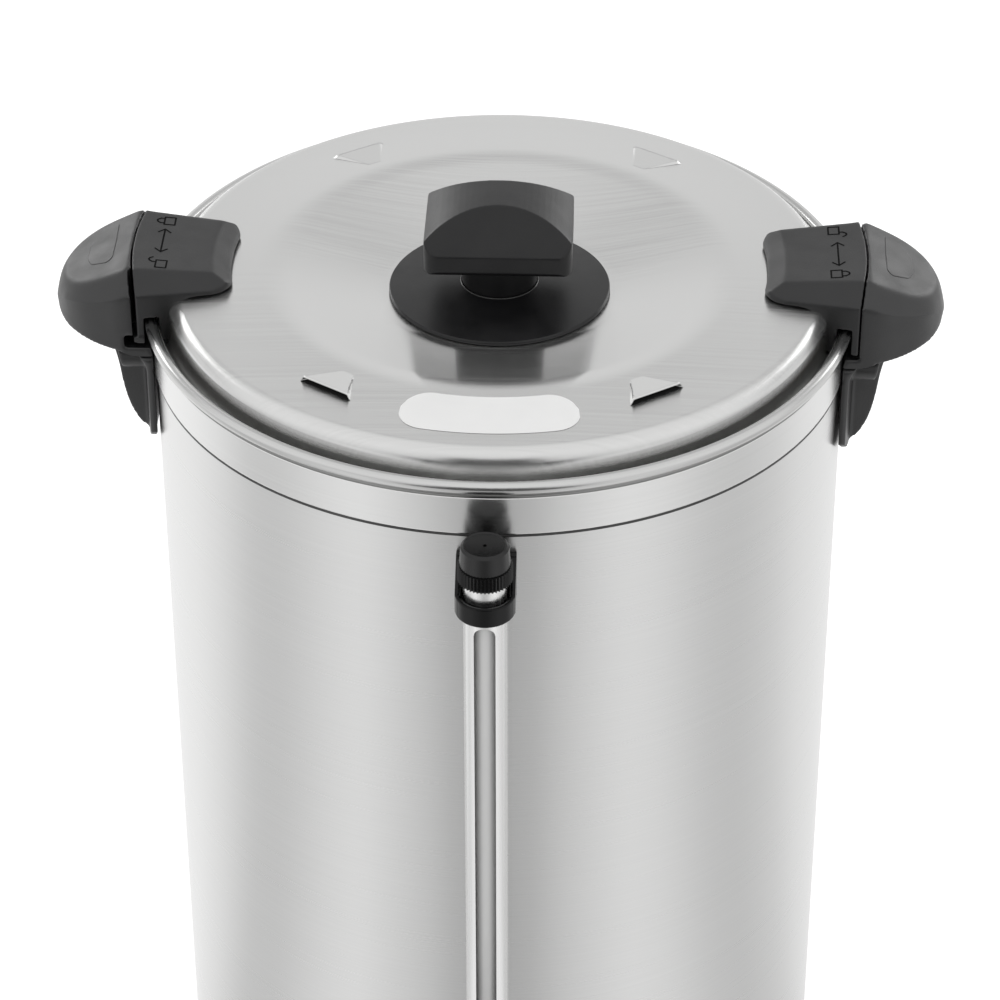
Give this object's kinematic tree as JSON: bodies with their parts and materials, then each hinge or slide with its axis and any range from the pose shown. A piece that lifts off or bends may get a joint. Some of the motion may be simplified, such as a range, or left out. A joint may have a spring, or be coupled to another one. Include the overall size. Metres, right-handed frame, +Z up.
{
  "type": "hot water urn",
  "caption": "Upright double-walled steel water boiler with a locking lid, side handles, a sight gauge in a slotted guard and a lever tap over a black base with controls.",
  "frame": {"origin": "on the urn's vertical axis, on the floor that the feet stand on", "axes": "+Z up, the tap towards -Y, the handles on the X axis"},
  "size_m": [0.3832, 0.3764, 0.5267],
  "materials": {
    "shell_steel": "brushed round the body",
    "tank_steel": "satin",
    "rim_steel": "bright brushed",
    "lid_steel": "spun satin",
    "plate_steel": "zinc grey",
    "panel_steel": "brushed across",
    "handle_plastic": "satin moulded",
    "lug_plastic": "satin moulded",
    "knob_plastic": "satin moulded",
    "black_plastic": "satin moulded",
    "lever_plastic": "polished moulded",
    "base_plastic": "fine spark-eroded grain",
    "dial_plastic": "satin moulded",
    "rocker_plastic": "polished, see-through red",
    "lamp_lens": "clear amber",
    "thermostat_body": "moulded",
    "guard_chrome": "polished",
    "tap_chrome": "polished plate on brass",
    "stem_steel": "turned",
    "screw_steel": "zinc plated",
    "gauge_glass": "clear drawn tube",
    "seal_rubber": "matt",
    "foot_rubber": "matt",
    "silicone": "milky",
    "terminal_brass": "turned",
    "element_aluminium": "cast",
    "element_sheath": "heat-darkened sheath"
  },
  "bodies": {
    "urn": {"outer_shell": "shell_steel", "tank_wall": "tank_steel", "tank_bottom": "tank_steel", "rim_band": "rim_steel", "handle_left": "handle_plastic", "handle_right": "handle_plastic", "handle_screws": "screw_steel", "gauge_tee": "tap_chrome", "gauge_seals": "seal_rubber", "gauge_tube": "gauge_glass", "gauge_guard": "guard_chrome", "gauge_bracket": "black_plastic", "gauge_bracket_screws": "screw_steel", "shank_seals": "seal_rubber", "shank_nut": "terminal_brass", "tap_body": "tap_chrome", "tap_bonnet": "black_plastic", "tap_spring": "screw_steel", "base_housing": "base_plastic", "base_plate": "plate_steel", "base_plate_screws": "screw_steel", "feet": "foot_rubber", "control_panel": "panel_steel", "thermostat": "thermostat_body", "switch_frame": "black_plastic", "indicator_lamps": "lamp_lens", "element_plate": "element_aluminium", "element_ring": "element_sheath", "element_terminals": "terminal_brass", "cut_out": "black_plastic", "mains_inlet": "black_plastic", "inlet_pins": "terminal_brass"},
    "lid_washer": {"lid_knob_washer": "screw_steel"},
    "lid": {"lid_pan": "lid_steel", "lid_knob_disc": "knob_plastic", "lid_knob_grip": "knob_plastic", "lid_knob_screw": "screw_steel", "lid_lug_left": "lug_plastic", "lid_lug_right": "lug_plastic", "lid_lug_screws": "screw_steel"},
    "cap_washer": {"gauge_cap_washer": "seal_rubber"},
    "cap": {"gauge_cap": "black_plastic"},
    "tap_stem": {"tap_stem": "stem_steel", "tap_seat_cup": "silicone"},
    "tap_lever": {"tap_lever": "lever_plastic", "tap_lever_pin": "screw_steel"},
    "dial": {"thermostat_knob": "dial_plastic", "thermostat_shaft": "stem_steel"},
    "rocker": {"switch_rocker": "rocker_plastic"},
    "reset": {"reset_button": "rocker_plastic"}
  },
  "joints": [
    {"name": "lid_lift", "type": "slide", "parent": "urn", "child": "lid_washer", "axis": [0, 0, 1], "range_m": [0, 0.22]},
    {"name": "lid_turn", "type": "hinge", "parent": "lid_washer", "child": "lid", "pos_m": [0, 0, 0.49], "axis": [0, 0, 1], "range_deg": [-8, 0]},
    {"name": "cap_rise", "type": "slide", "parent": "urn", "child": "cap_washer", "axis": [0, 0, 1], "range_m": [0, 0.008]},
    {"name": "cap_turn", "type": "hinge", "parent": "cap_washer", "child": "cap", "pos_m": [0, -0.165, 0.445], "axis": [0, 0, 1], "range_deg": [0, 414]},
    {"name": "stem_rise", "type": "slide", "parent": "urn", "child": "tap_stem", "axis": [0, 0, 1], "range_m": [0, 0.0045], "stiffness_N_per_m": 800, "springref_m": -0.003, "deforming": ["tap_spring"]},
    {"name": "lever_tilt", "type": "hinge", "parent": "tap_stem", "child": "tap_lever", "pos_m": [0, -0.207, 0.1613], "axis": [1, 0, 0], "range_deg": [0, 44]},
    {"name": "dial_turn", "type": "hinge", "parent": "urn", "child": "dial", "pos_m": [-0.034, -0.1505, 0.04], "axis": [0, 1, 0], "range_deg": [0, 300]},
    {"name": "switch_rock", "type": "hinge", "parent": "urn", "child": "rocker", "pos_m": [0.034, -0.1446, 0.04], "axis": [-1, 0, 0], "range_deg": [0, 10]},
    {"name": "reset_press", "type": "slide", "parent": "urn", "child": "reset", "axis": [0, 0, 1], "range_m": [0, 0.002], "stiffness_N_per_m": 400, "springref_m": -0.001}
  ],
  "couplings": [
    {"joint": "cap_turn", "follows": "cap_rise", "rad_per_m": 785.4},
    {"joint": "lever_tilt", "follows": "stem_rise", "rad_per_m": 155.14}
  ]
}
